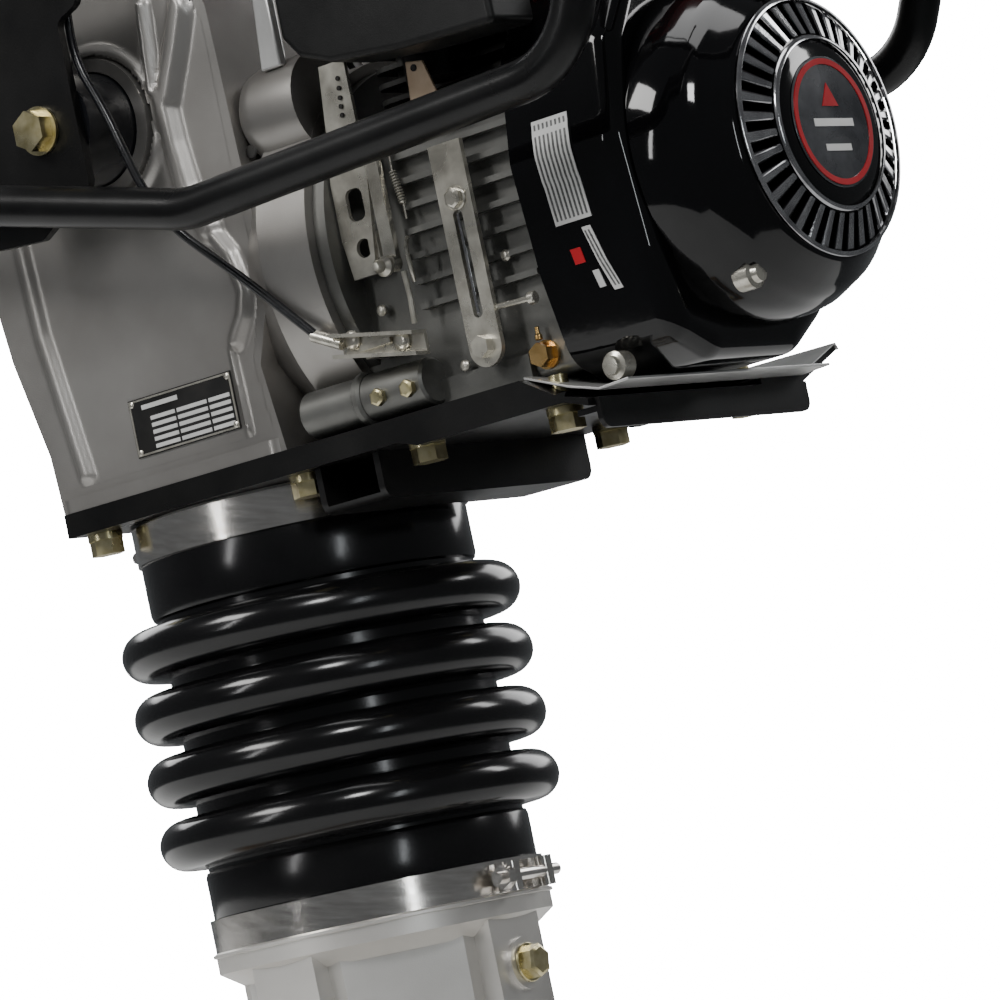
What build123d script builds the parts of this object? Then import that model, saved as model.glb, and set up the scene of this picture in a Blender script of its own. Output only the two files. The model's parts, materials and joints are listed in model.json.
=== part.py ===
from build123d import *
import math
import os

# Jumping jack rammer. Millimetres. +Z up, +Y the way it walks, +X its right-hand side.
# The origin is the middle of the shoe's flat sole. Everything above the shoe is drawn in a
# leg frame: z along the leg with 0 at the underside of the deck plate, y forward, x right.
# LEG turns that frame into the part's own.

# ---- driving dimensions ----
LEAN = 15.0            # forward lean of the leg
DECK_HEIGHT = 560.0    # along the leg, from the sole to the deck's underside
LEG_FOOT_Y = -70.0     # where the leg's axis meets the sole
CLEAR = 0.3            # gap between faces that move past each other
RUN_FIT = 0.05         # radial running clearance of a shaft in its bore

DECK_T = 12.9
DECK_W = 95.0          # half width
DECK_FRONT = 82.0
DECK_REAR = -278.0
DECK_HOLE_R = 62.0

WALL_X = 92.0          # gearbox side wall
CRANK_Z = 106.0        # engine shaft above the deck's underside
MODULE = 2.5
PINION_TEETH = 12
GEAR_TEETH = 66
GEAR_Z = CRANK_Z + MODULE * (PINION_TEETH + GEAR_TEETH) / 2
CRANK_THROW = 32.0
ROD_LENGTH = 170.0
BELL_R = 104.0         # clutch bell
BELL_REAR = -130.0
MOUNT_Y = 4.0          # shock mount axis
MOUNT_Z = 206.0
MOUNT_R = 30.0         # rubber buffer

GUIDE_R = 55.0
LINER_R = 62.0
LINER_LOW = -458.0
RIM_R = 91.5
BELLOWS_LOBE_R = 13.5
BELLOWS_CREST_R = 109.5
BELLOWS_VALLEY_R = 78.0
BELLOWS_FIRST = -70.0
BELLOWS_PITCH = 34.5
BELLOWS_LOBES = 4
CUFF_R = 89.5
BAND_R = 91.0
LEG_PAD_W = 21.0       # half width of the leg's four pads
LEG_BOSS_Y = 90.5      # face of the bolt boss behind the leg
LEG_BOSS_Z = -272.0

CASE_X = 76.0          # engine crankcase half width
CASE_FRONT = BELL_REAR
CASE_REAR = -262.0
SHROUD_FRONT = -268.0
SHROUD_REAR = -332.0
SHROUD_HOLE_R = 78.0
RECOIL_FACE = -392.0
RECOIL_R = 90.0
GOVERNOR_Y = -219.5    # governor shaft
GOVERNOR_Z = 35.0
PLUG_Y = -246.0        # oil drain plug
PLUG_Z = 24.0
PULL_X = 46.0          # starter rope
PULL_Y = -352.0
PULL_Z = 206.0

RAIL_X = 150.0
RAIL_R = 11.0
RAIL_LOW = 699.5       # height of the guard rail in the part's frame
RAIL_TOP = 1010.0
RAIL_FRONT = 290.0
TOP_FRONT = 215.0
GRIP_Y = -345.0
LEVER_Y = -207.0
EYE_R = 13.0           # lifting eye
EYE_Z = RAIL_TOP + 27
POST_TOP_Y = -263.0

TANK_LOW = 918.0

SHOE_X = 140.0
SHOE_Y = 170.0

LEG = Pos(0, LEG_FOOT_Y, 0) * Rot(-LEAN, 0, 0) * Pos(0, 0, DECK_HEIGHT)


# ---- helpers ----
def box(x0, x1, y0, y1, z0, z1):
    return Pos((x0 + x1) / 2, (y0 + y1) / 2, (z0 + z1) / 2) * Box(x1 - x0, y1 - y0, z1 - z0)


def rod_x(r, x0, x1, y=0.0, z=0.0):
    return Pos((x0 + x1) / 2, y, z) * Rot(0, 90, 0) * Cylinder(r, abs(x1 - x0))


def rod_y(r, y0, y1, x=0.0, z=0.0):
    return Pos(x, (y0 + y1) / 2, z) * Rot(90, 0, 0) * Cylinder(r, abs(y1 - y0))


def rod_z(r, z0, z1, x=0.0, y=0.0):
    return Pos(x, y, (z0 + z1) / 2) * Cylinder(r, abs(z1 - z0))


def ring_x(r, r_in, x0, x1, y=0.0, z=0.0):
    return rod_x(r, x0, x1, y, z) - rod_x(r_in, min(x0, x1) - 1, max(x0, x1) + 1, y, z)


def ring_y(r, r_in, y0, y1, x=0.0, z=0.0):
    return rod_y(r, y0, y1, x, z) - rod_y(r_in, min(y0, y1) - 1, max(y0, y1) + 1, x, z)


def ring_z(r, r_in, z0, z1, x=0.0, y=0.0):
    return rod_z(r, z0, z1, x, y) - rod_z(r_in, min(z0, z1) - 1, max(z0, z1) + 1, x, y)


def prism_x(points, x0, x1):
    """Outline of (y, z) points drawn out along x."""
    face = Plane.YZ * make_face(Polyline(*points, close=True))
    return Pos(x0, 0, 0) * extrude(face, amount=x1 - x0, dir=(1, 0, 0))


def prism_y(points, y0, y1):
    """Outline of (x, z) points drawn out along y."""
    face = Plane.XZ * make_face(Polyline(*points, close=True))
    return Pos(0, y0, 0) * extrude(face, amount=y1 - y0, dir=(0, 1, 0))


def turned_y(points, z):
    """Outline of (radius, y) points turned about the y axis at height z."""
    face = make_face(Polyline(*points, close=True))
    return Pos(0, 0, z) * revolve(face, axis=Axis.Y)


def turned_z(points):
    """Outline of (radius, z) points turned about the z axis."""
    face = Plane.XZ * make_face(Polyline(*points, close=True))
    return revolve(face, axis=Axis.Z)


def hexagon_z(width, z0, z1, x=0.0, y=0.0):
    face = RegularPolygon(radius=width / 2, side_count=6, major_radius=False)
    return Pos(x, y, z0) * extrude(face, amount=z1 - z0)


def hexagon_x(width, x0, x1, y, z):
    return Pos(x0, y, z) * Rot(0, 90, 0) * hexagon_z(width, 0, x1 - x0)


def hexagon_y(width, y0, y1, x, z):
    return Pos(x, y0, z) * Rot(-90, 0, 0) * hexagon_z(width, 0, y1 - y0)


def to_part(x, y, z):
    """A leg-frame point in the part's frame."""
    point = LEG * Pos(x, y, z)
    return tuple(point.position)


def route_radii(points, share=0.45):
    """The largest fair arc at each corner of a route."""
    corners = [Vector(*p) for p in points]
    radii = []
    for before, here, after in zip(corners, corners[1:], corners[2:]):
        turn = math.radians((here - before).get_angle(after - here))
        run = min((here - before).length, (after - here).length)
        radii.append(share * run / math.tan(turn / 2))
    return radii


def along(points, radius, radii, bore=0.0):
    """A round bar, or a pipe with a bore, along straight runs joined by arcs."""
    path = FilletPolyline(*points, radius=radii)
    start = Plane(origin=points[0], z_dir=Vector(*points[1]) - Vector(*points[0]))
    solid = sweep(start * Circle(radius), path=path)
    if bore:
        solid -= sweep(start * Circle(bore), path=path)
    return solid


def toothed_wheel(teeth, y0, y1, z, bore, phase=0.0):
    """A spur gear about the y axis at height z, a tooth at the phase angle from +z."""
    pitch_r = MODULE * teeth / 2
    tip_r = pitch_r + 0.8 * MODULE
    root_r = pitch_r - 1.15 * MODULE
    points = []
    for tooth in range(teeth):
        middle = math.radians(phase) + 2 * math.pi * tooth / teeth
        for r, share in ((root_r, -0.30), (tip_r, -0.11), (tip_r, 0.11), (root_r, 0.30)):
            angle = middle + share * 2 * math.pi / teeth
            points.append((r * math.sin(angle), z + r * math.cos(angle)))
    return prism_y(points, y0, y1) - rod_y(bore, y0 - 1, y1 + 1, 0, z)


def coil_z(mean_r, wire_r, z0, z1, turns):
    """A compression spring between two planes across the z axis."""
    height = z1 - z0 - 2 * wire_r
    helix = Pos(0, 0, z0 + wire_r) * Helix(pitch=height / turns, height=height, radius=mean_r)
    start = Plane(origin=helix @ 0, z_dir=helix % 0)
    return sweep(start * Circle(wire_r), path=helix)


# ---- deck and guide ----
def deck_plate():
    side = [(DECK_FRONT, 0), (DECK_FRONT, DECK_T), (-238, DECK_T), (-260, 0), (DECK_REAR, -5),
            (DECK_REAR, -9), (-263, -4), (-238, -4), (-234, 0)]
    plate = prism_x(side, -DECK_W, DECK_W)
    plate += prism_x([(-150, 1), (-166, -4), (-262, -4), (-266, 1)], -DECK_W, -DECK_W + 7)
    plate += prism_x([(-150, 1), (-166, -4), (-262, -4), (-266, 1)], DECK_W - 7, DECK_W)
    plate -= rod_z(DECK_HOLE_R, -20, 30)
    for x, y in deck_bolt_places():
        plate -= rod_z(5.5, -20, 30, x, y)
    return plate


def deck_bolt_places():
    return [(side * 78.0, y) for side in (-1, 1) for y in (71.0, -76.0, -159.0, -250.0)]


def frame_bolts():
    """Deck bolts with their heads below, and the two shock mount bolts."""
    group = []
    for x, y in deck_bolt_places():
        top = -4.1 if y < -240 else -0.1
        head = rod_z(9.5, top - 4, top, x, y) + hexagon_z(16, top - 12, top - 4, x, y)
        group.append(head + rod_z(4.9, top - 9.5, 12.4, x, y))
    for side in (-1, 1):
        low, high = sorted((side * 141.2, side * 149.2))
        bolt = hexagon_x(19, low, high, MOUNT_Y, MOUNT_Z)
        bolt += rod_x(13, side * 139.3, side * 141.3, MOUNT_Y, MOUNT_Z)
        group.append(bolt + rod_x(5.9, side * 112, side * 149, MOUNT_Y, MOUNT_Z))
    return Compound(group)


def rear_tray():
    """Pressed plate behind the deck: floor, downturned flange and one upturned far wing."""
    floor = box(-90, 90, -281, -266.5, -12.4, -9.3)
    flange = box(-90, 90, -281.5, -278.5, -21, -5.2)
    flange = fillet(flange.edges().filter_by(Axis.Y).group_by(Axis.Z)[0], 6)
    wing = prism_y([(50, -5.2), (88, -5.2), (123, 10), (121.5, 13), (86, -2), (50, -2)], -281.5, -215)
    wing -= box(0, 95.5, -278.3, -200, -12, 30)
    return floor + flange + wing


def cross_channel():
    """Pressed channel across the deck's underside, behind the bellows."""
    channel = box(-88, 88, -134, -90, -25, -0.2)
    channel = fillet(channel.edges().filter_by(Axis.Y).group_by(Axis.Z)[0], 7)
    channel -= box(-89, 89, -130, -94, -21, 1)
    channel -= rod_z(BAND_R + 4, -30, 1)
    return channel


def cylinder_flange():
    """Cast collar under the deck that the bellows' upper cuff fits over."""
    ring = [(GUIDE_R, -0.2), (86, -0.2), (86, -46), (80, -50), (72, -50), (72, -12), (GUIDE_R, -12)]
    collar = turned_z(ring)
    return collar


def guide_cylinder():
    tube = ring_z(GUIDE_R, 49.0, -150, 70)
    return tube


# ---- gearbox ----
def housing_outline():
    return [(84, DECK_T + 0.1), (86, 46), (99, 100), (104, 140), (100, 215), (84, 266), (50, 300),
            (-40, 306), (-72, 298), (-84, 250), (-88, 100), (-72, 60), (-78, DECK_T + 0.1)]


def gearbox_housing():
    """Cast crankcase: flat side walls, a round clutch bell behind and a hollow for the gears."""
    body = prism_x(housing_outline(), -WALL_X, WALL_X)
    body = fillet(body.edges().filter_by(Axis.X).group_by(Axis.Z)[-3:], 14)
    neck = turned_y([(60, -52), (88, -66), (BELL_R - 9, -84), (BELL_R, -96), (BELL_R, BELL_REAR + 0.2),
                     (0, BELL_REAR + 0.2), (0, -52)], CRANK_Z)
    neck -= box(-200, 200, -200, 0, -60, DECK_T + 0.1)
    body += neck
    foot = box(-WALL_X - 2.5, WALL_X + 2.5, -76, DECK_FRONT + 2, DECK_T + 0.1, DECK_T + 7.5)
    body += fillet(foot.edges().filter_by(Axis.Z), 8)
    body -= gear_hollow()
    for side in (-1, 1):
        body += rod_x(MOUNT_R + 8, side * (WALL_X - 6), side * (WALL_X + 6), MOUNT_Y, MOUNT_Z)
        body -= rod_x(MOUNT_R + 1, side * (WALL_X - 2), side * (WALL_X + 7), MOUNT_Y, MOUNT_Z)
    body -= rod_z(GUIDE_R + RUN_FIT, 0, 100)
    body -= rod_y(22.05, -99, -40, 0, CRANK_Z)
    body -= rod_y(31.05, -90, -40, 0, GEAR_Z)
    return body


def gear_hollow():
    room = box(-80, 80, -28.5, 80, 75, 262) + rod_y(86.5, -60, -28, 0, GEAR_Z)
    shaft_end = rod_y(20, -60, -20, 0, CRANK_Z)
    clutch = rod_y(BELL_R - 10, -200, -99, 0, CRANK_Z) & box(-200, 200, -200, 0, DECK_T + 8, 400)
    return room + shaft_end + clutch


def name_plate():
    plate = box(-WALL_X - 1.0, -WALL_X - 0.1, -51, 23, 31, 62)
    return plate


# ---- bellows, clamps and leg ----
def bellows():
    outer = [(CUFF_R, -1.5), (CUFF_R, -52)]
    for lobe in range(BELLOWS_LOBES):
        z = BELLOWS_FIRST - lobe * BELLOWS_PITCH
        crest = BELLOWS_CREST_R - BELLOWS_LOBE_R
        outer.append((BELLOWS_VALLEY_R + 3, z + BELLOWS_LOBE_R + 1.5))
        for step in range(7):
            angle = math.radians(90 - 30 * step)
            outer.append((crest + BELLOWS_LOBE_R * math.cos(angle), z + BELLOWS_LOBE_R * math.sin(angle)))
        outer.append((BELLOWS_VALLEY_R + 3, z - BELLOWS_LOBE_R - 1.5))
    outer += [(CUFF_R - 1.0, -192), (CUFF_R - 1.0, -235.5)]
    inner = [(86.2, -235.5), (86.2, -194)]
    for lobe in reversed(range(BELLOWS_LOBES)):
        z = BELLOWS_FIRST - lobe * BELLOWS_PITCH
        crest = BELLOWS_CREST_R - BELLOWS_LOBE_R
        inner += [(74, z - BELLOWS_LOBE_R - 1.5), (crest - 2, z - 8.5), (crest + 8.5, z)]
        inner += [(crest - 2, z + 8.5), (74, z + BELLOWS_LOBE_R + 1.5)]
    inner += [(86.2, -50), (86.2, -1.5)]
    return turned_z(outer + inner)


def band_clamp(z0, z1, screw_angle):
    """Stainless band with folded ends and a T-bolt."""
    band = ring_z(BAND_R, CUFF_R + 0.05, z0, z1)
    middle = (z0 + z1) / 2
    bolt = rod_x(3.2, -27, 32, BAND_R + 6.5, middle)
    for x in (-16.0, 16.0):
        bolt += rod_z(4.5, z0 + 2, z1 - 2, x, BAND_R + 6.5)
        bolt += box(x - 3, x + 3, BAND_R - 1.8, BAND_R + 6.5, z0 + 2, z1 - 2)
    bolt += hexagon_x(11, 21, 28, BAND_R + 6.5, middle)
    return band + Rot(0, 0, screw_angle) * bolt


def spring_cylinder():
    """Steel sleeve that rides on the guide cylinder and holds the ram springs."""
    sleeve = ring_z(LINER_R, GUIDE_R + RUN_FIT, LINER_LOW, -62)
    return sleeve + ring_z(GUIDE_R + RUN_FIT + 1, 26, -226, -216)


def leg_outline(half, corner, z):
    """Eight-sided section: flats at half from the axis, corner is half a flat's width."""
    points = [(half, corner), (corner, half), (-corner, half), (-half, corner), (-half, -corner),
              (-corner, -half), (corner, -half), (half, -corner)]
    return Pos(0, 0, z) * make_face(Polyline(*points, close=True))


def leg_casting():
    """Aluminium leg: round rim for the bellows, eight-sided tapering body, slanted foot flange."""
    leg = loft([leg_outline(77, 30, -246), leg_outline(74, 29, -330), leg_outline(69, 28, -470),
                leg_outline(73, 32, -530)], ruled=True)
    leg += turned_z([(LINER_R + 0.1, -196), (86, -196), (86, -236.5), (RIM_R, -236.5), (RIM_R, -245),
                     (80, -253), (LINER_R + 0.1, -253)])
    for turn in (0, 90, 180, 270):
        side = [(-60, -246), (-88, -246), (-88, -300), (-76, -340), (-60, -340)]
        pad = prism_x(side, -LEG_PAD_W, LEG_PAD_W)
        leg += Rot(0, 0, turn) * pad
    leg += rod_y(14, -LEG_BOSS_Y, -80, 2, LEG_BOSS_Z)
    leg -= rod_z(LINER_R + 0.1, LINER_LOW - 0.1, -180)
    leg = LEG * leg
    leg -= box(-300, 300, -400, 300, -100, 71)
    foot = box(-104, 104, -142, 66, 62, 74)
    foot = fillet(foot.edges().filter_by(Axis.Z), 18)
    leg += foot
    for x, y in shoe_bolt_places():
        leg -= rod_z(6.6, 50, 90, x, y)
    return leg


# ---- shoe ----
def shoe_bolt_places():
    return [(x, y) for x in (-88.0, 88.0) for y in (-124.0, 48.0)]


def shoe_casting():
    """Thick steel top plate of the shoe, with a skirt at the front."""
    plate = box(-118, 118, -158, 120, 50, 62)
    plate = fillet(plate.edges().filter_by(Axis.Z), 20)
    for x, y in shoe_bolt_places():
        plate -= rod_z(6.6, 40, 90, x, y)
    return plate


def shoe_laminate():
    side = [(-165, 6), (-165, 50), (150, 50), (178, 62), (190, 46), (160, 10), (150, 6)]
    block = prism_x(side, -SHOE_X + 3, SHOE_X - 3)
    for x, y in shoe_bolt_places():
        block -= rod_z(6.6, 0, 90, x, y) + rod_z(11.3, 0, 12.3, x, y)
    return block


def shoe_sole():
    """Steel wear plate, turned up at the toe and heel."""
    side = [(-SHOE_Y, 0), (-SHOE_Y, 6), (150.5, 6), (160.5, 9.6), (192, 45), (196, 41), (164, 4), (152, 0)]
    sole = prism_x(side, -SHOE_X, SHOE_X)
    sole += box(-SHOE_X, SHOE_X, -SHOE_Y, -SHOE_Y + 4.6, 5, 34)
    return sole


def shoe_bolts():
    group = []
    for x, y in shoe_bolt_places():
        group.append(rod_z(6.5, 12, 86, x, y) + hexagon_z(19, 74.2, 84, x, y) + rod_z(11, 6.2, 12, x, y))
    return Compound(group)


# ---- ram mechanism ----
def crank_gear():
    wheel = toothed_wheel(GEAR_TEETH, -58, -38, GEAR_Z, 15.0, 180.0)
    for k in range(6):
        angle = math.radians(60 * k + 30)
        wheel -= rod_y(13, -70, -30, 52 * math.sin(angle), GEAR_Z + 52 * math.cos(angle))
    hub = rod_y(34, -38, -30, 0, GEAR_Z) + rod_y(16, -38, -30, 0, GEAR_Z + CRANK_THROW)
    shaft = rod_y(15, -84, -38, 0, GEAR_Z)
    return wheel + hub + shaft


def bearing(z, r, r_in, y0, y1):
    """A ball bearing: two races and a ring of balls."""
    step = (r - r_in) / 3
    races = [ring_y(r, r - step, y0, y1, 0, z), ring_y(r_in + step, r_in, y0, y1, 0, z)]
    middle_r = (r + r_in) / 2
    for k in range(9):
        angle = 2 * math.pi * k / 9
        place = Pos(middle_r * math.sin(angle), (y0 + y1) / 2, z + middle_r * math.cos(angle))
        races.append(place * Sphere(step / 2 - 0.02))
    return races


def bearings():
    """Gear shaft and pinion shaft bearings in the housing's wall."""
    gear = bearing(GEAR_Z, 31, 15 + RUN_FIT, -84, -66)
    pinion = bearing(CRANK_Z, 22, 9.5 + RUN_FIT, -92, -78)
    return Compound(gear + pinion)


def connecting_rod():
    top = GEAR_Z + CRANK_THROW
    low = top - ROD_LENGTH
    rod = ring_y(25, 13.0, -11, 11, 0, top) + ring_y(17, 9 + RUN_FIT, -11, 11, 0, low)
    beam = prism_y([(-11, top - 22), (11, top - 22), (8, low + 14), (-8, low + 14)], -7, 7)
    return rod + beam


def crank_pin():
    top = GEAR_Z + CRANK_THROW
    return rod_y(12.95, -30 + CLEAR, 14, 0, top) + rod_y(17, 11.3, 15, 0, top)


def wrist_z():
    return GEAR_Z + CRANK_THROW - ROD_LENGTH


def crosshead():
    """Piston that runs in the guide cylinder, forked for the connecting rod."""
    low = wrist_z() - 42
    piston = rod_z(49.0 - RUN_FIT, low, wrist_z() + 16)
    piston -= box(-30, 30, -11.5, 11.5, wrist_z() - 22, wrist_z() + 40)
    piston -= rod_y(9.0, -60, 60, 0, wrist_z())
    return piston


def wrist_pin():
    return rod_y(9.0, -44, 44, 0, wrist_z())


def piston_rod():
    low = wrist_z() - 42
    rod = rod_z(20, -345, low - 0.1)
    plate = rod_z(52, -345, -327)
    return rod + plate


def ram_springs():
    """Outer and inner springs above and below the rod's plate."""
    group = []
    for z0, z1 in ((-326.8, -226.2), (LINER_LOW + 0.2, -345.2)):
        group += [coil_z(45, 6, z0, z1, 5), coil_z(30, 4, z0, z1, 7)]
    return Compound(group)


def clutch_drum():
    """Clutch drum and pinion on one shaft."""
    cup = rod_y(54, -126, -101, 0, CRANK_Z) - rod_y(50, -130, -105, 0, CRANK_Z)
    shaft = rod_y(9.5, -101, -58, 0, CRANK_Z)
    pinion = toothed_wheel(PINION_TEETH, -58, -38, CRANK_Z, 4.0, 180.0 / PINION_TEETH)
    return cup + shaft + pinion


def clutch_hub():
    """Centrifugal shoes on the end of the engine's shaft."""
    parts = ring_y(18, 10.02, -126, -107, 0, CRANK_Z)
    for k in range(3):
        wedge = ring_y(48.5, 24, -124, -108, 0, CRANK_Z)
        keep = Pos(0, 0, CRANK_Z) * Rot(0, 120 * k, 0) * box(-34, 34, -140, -100, 4, 60)
        parts += wedge & keep
        parts += Pos(0, 0, CRANK_Z) * Rot(0, 120 * k, 0) * box(-5, 5, -122, -110, 12, 30)
    return parts


# ---- engine ----
def engine_crankcase():
    case = box(-CASE_X, CASE_X, CASE_REAR, CASE_FRONT, DECK_T + 0.1, 172)
    case = fillet(case.edges().filter_by(Axis.Y).group_by(Axis.Z)[-1], 16)
    case = fillet(case.edges().filter_by(Axis.Y).group_by(Axis.Z)[0], 5)
    case += box(-80, 80, -236, -148, DECK_T + 0.1, DECK_T + 14)
    above_deck = box(-200, 200, -200, 0, DECK_T + 0.1, 400)
    case += rod_y(BELL_R - 6, CASE_FRONT - 8, CASE_FRONT, 0, CRANK_Z) & above_deck
    for k in range(7):
        z = 64 + 13 * k
        case += box(-CASE_X - 6, -CASE_X + 2, -254, -176, z, z + 3.2)
        case += box(CASE_X - 2, CASE_X + 6, -254, -150, z, z + 3.2)
    case -= rod_y(62, -250, -142, 0, CRANK_Z)
    case -= rod_y(16.05, -270, -120, 0, CRANK_Z)
    case -= rod_x(5, -80, -60, PLUG_Y, PLUG_Z)
    return case


def engine_cylinder():
    barrel = box(-40, 40, -245, -160, 172.1, 246)
    for k in range(8):
        z = 177 + 8.5 * k
        fin = box(-52, 52, -255, -150, z, z + 2.6)
        barrel += fillet(fin.edges().filter_by(Axis.Z), 10)
    return barrel


def cylinder_head():
    """Finned head and its rocker cover."""
    head = box(-48, 48, -250, -155, 246.1, 262)
    for k in range(4):
        x = -36 + 24 * k
        head += box(x - 1.5, x + 1.5, -248, -157, 262, 276)
    cover = box(-36, 36, -240, -165, 276.1, 296)
    return Compound([head, fillet(cover.edges().group_by(Axis.Z)[-1], 7)])


def spark_plug():
    plug = rod_y(6, -155, -132, 30, 254) + hexagon_y(17, -154.9, -146, 30, 254)
    return plug


def muffler():
    can = box(58, 122, -246, -150, 196, 286)
    can = fillet(can.edges().filter_by(Axis.Y), 16)
    can += rod_x(13, 52.1, 60, -215, 232)
    can += rod_y(9, -150, -132, 100, 262) - rod_y(7, -152, -131, 100, 262)
    return can


def carburetor():
    body = rod_x(15, -78, -52.1, -205, 224) + box(-76, -60, -224, -186, 196, 232)
    bowl = rod_z(15, 178, 196, -68, -205)
    return Compound([body + bowl, air_cleaner_base()])


def air_cleaner_base():
    base = box(-92, -78.2, -288, -162, 204, 284)
    return fillet(base.edges().filter_by(Axis.X), 10)


def air_cleaner_cover():
    side = [(-157, 212), (-166, 200), (-186, 192), (-230, 187), (-292, 184), (-292, 288), (-157, 288)]
    cover = prism_x(side, -126, -92.2)
    cover = fillet(cover.edges().filter_by(Axis.X), 4)
    return fillet(cover.faces().sort_by(Axis.X)[0].edges(), 3.5)


def shroud_outline(inset=0.0):
    """Blower outline seen from behind: round top, deep left corner, right side that follows the starter."""
    rim = [(22, 2), (50, 20), (76, 50), (93, 88), (97, 118), (88, 170), (58, 213), (22, 228),
           (-22, 228), (-58, 213), (-88, 170), (-97, 118), (-91, 60), (-80, 16), (-50, 2)]
    centre = 112
    points = [(x * (1 - inset / 100), centre + (z - centre) * (1 - inset / 112)) for x, z in rim]
    outline = make_face(Polyline(*points, close=True))
    return fillet(outline.vertices(), 20)


def shroud_slab(outline, y0, y1):
    return Pos(0, y0, 0) * extrude(Plane.XZ * outline, amount=y1 - y0, dir=(0, 1, 0))


def fan_shroud():
    """Blower housing: a rounded cup round the flywheel."""
    outline = shroud_outline()
    cup = shroud_slab(outline, SHROUD_REAR, SHROUD_FRONT)
    cup = fillet(cup.faces().sort_by(Axis.Y)[0].edges(), 12)
    cup -= shroud_slab(shroud_outline(4), SHROUD_REAR + 5, SHROUD_FRONT + 1)
    cup -= rod_y(SHROUD_HOLE_R, -400, -260, 0, CRANK_Z)
    lip = shroud_slab(outline, SHROUD_FRONT, SHROUD_FRONT + 5.8)
    return cup + lip - rod_y(70, SHROUD_FRONT - 1, SHROUD_FRONT + 7, 0, CRANK_Z)


def recoil_housing():
    """Starter cover: round, domed, slotted for the cooling air."""
    shell = turned_y([(0, RECOIL_FACE), (38, RECOIL_FACE), (44, -390), (67, -382), (71, -378), (82, -366),
                      (RECOIL_R - 2, -352), (RECOIL_R, -340), (RECOIL_R, SHROUD_REAR - 0.2),
                      (76, SHROUD_REAR - 0.2), (76, -354), (66, -372), (42, -383), (36, RECOIL_FACE + 6),
                      (0, RECOIL_FACE + 6)], CRANK_Z)
    for k in range(36):
        slot = box(-2.0, 2.0, RECOIL_FACE - 1, -365, 46, 65)
        shell -= Pos(0, 0, CRANK_Z) * Rot(0, 10 * k, 0) * slot
    shell -= rod_z(7, CRANK_Z + 60, CRANK_Z + 100, PULL_X, PULL_Y)
    return shell


def engine_shaft():
    """Crankshaft with flywheel fan and starter cup, all turning together."""
    shaft = rod_y(16, -300, -141, 0, CRANK_Z) + rod_y(10, -141, -107, 0, CRANK_Z)
    shaft += rod_y(30, -236, -226, 0, CRANK_Z) + rod_y(30, -176, -166, 0, CRANK_Z)
    return shaft - rod_y(7, -310, -270, 0, CRANK_Z)


def flywheel():
    """Flywheel with fan vanes and the starter's catch cup."""
    wheel = rod_y(74, -306, -292, 0, CRANK_Z) - rod_y(16 + RUN_FIT, -310, -291, 0, CRANK_Z)
    for k in range(16):
        vane = box(-1.5, 1.5, -322, -305, 44, 72)
        wheel += Pos(0, 0, CRANK_Z) * Rot(0, 22.5 * k, 0) * vane
    return wheel + rod_y(38, -342, -305, 0, CRANK_Z) - rod_y(33, -345, -312, 0, CRANK_Z)


def recoil_pulley():
    """Rope drum of the starter."""
    outline = [(8, -372), (46, -372), (46, -368), (36, -366), (36, -356), (46, -354), (46, -350), (8, -350)]
    return turned_y(outline, CRANK_Z)


def oil_drain_plug():
    washer = rod_x(7.5, -CASE_X - 2.2, -CASE_X - 0.2, PLUG_Y, PLUG_Z)
    return hexagon_x(11, -85, -CASE_X - 0.2, PLUG_Y, PLUG_Z) + washer


def control_bracket():
    """Zinc plate that carries the throttle arm, with a narrow strip up to the carburetor."""
    plate = prism_x([(-139, 139), (-139, 109), (-142, 88), (-157, 88), (-161, 116), (-164, 139), (-164, 200),
                     (-147, 200), (-143, 164)], -88, -85.6)
    plate -= fillet(box(-90, -80, -158, -147, 117, 134).edges().filter_by(Axis.X), 4)
    plate -= rod_x(5, -90, -80, -152.5, 102.6)
    return plate + box(-85.8, -76.1, -160, -154, 92, 110)


def throttle_arm():
    arm = rod_x(7, -92, -88.3, -171, 150) + box(-92, -88.3, -175, -167, 92, 150)
    return arm + rod_x(4.5, -95, -88.3, -171, 90)


def governor_arm():
    """Slotted flat arm on the governor's shaft."""
    low, high = GOVERNOR_Y - 10.5, GOVERNOR_Y + 10.5
    arm = box(-92, -89, low, high, GOVERNOR_Z, 141) + rod_x(10.5, -92, -89, GOVERNOR_Y, GOVERNOR_Z)
    arm -= fillet(box(-95, -85, GOVERNOR_Y - 3, GOVERNOR_Y + 3, 50, 106).edges().filter_by(Axis.X), 2.9)
    shaft = rod_x(4, -89, -CASE_X - 6.2, GOVERNOR_Y, GOVERNOR_Z)
    return arm + hexagon_x(10, -97, -92, GOVERNOR_Y, GOVERNOR_Z) + shaft


def cable_clamp():
    """Folded zinc clip that holds the end of the throttle cable."""
    clip = prism_x([(-132, 49.5), (-132, 62.5), (-186, 52), (-186, 39)], -96.5, -94)
    clip += prism_x([(-132, 49.5), (-132, 51.5), (-186, 41), (-186, 39)], -106, -94)
    clip += prism_x([(-132, 60.5), (-132, 62.5), (-186, 52), (-186, 50)], -106, -94)
    return clip + box(-94.1, -CASE_X - 0.1, -162, -144, 46, 55)


# ---- handle ----
def rail_route(side):
    """Guard rail and rear post of one side, in the part's frame."""
    x = side * RAIL_X
    low_rear = to_part(x, -94, 139)
    corner = to_part(x, -347, 147)
    return [(x, RAIL_FRONT - 13, RAIL_LOW), (x, low_rear[1], RAIL_LOW), corner,
            (x, POST_TOP_Y, RAIL_TOP - RAIL_R)]


def guard_rails():
    """Side rails of the handle and the bar across the front."""
    group = [along(rail_route(side), RAIL_R, [60, 46], RAIL_R - 2.5) for side in (-1, 1)]
    bar = ring_x(RAIL_R, RAIL_R - 2.5, -RAIL_X + RAIL_R, RAIL_X - RAIL_R, RAIL_FRONT - 8, RAIL_LOW + 30)
    group.append(bar)
    return Compound(group)


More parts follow.
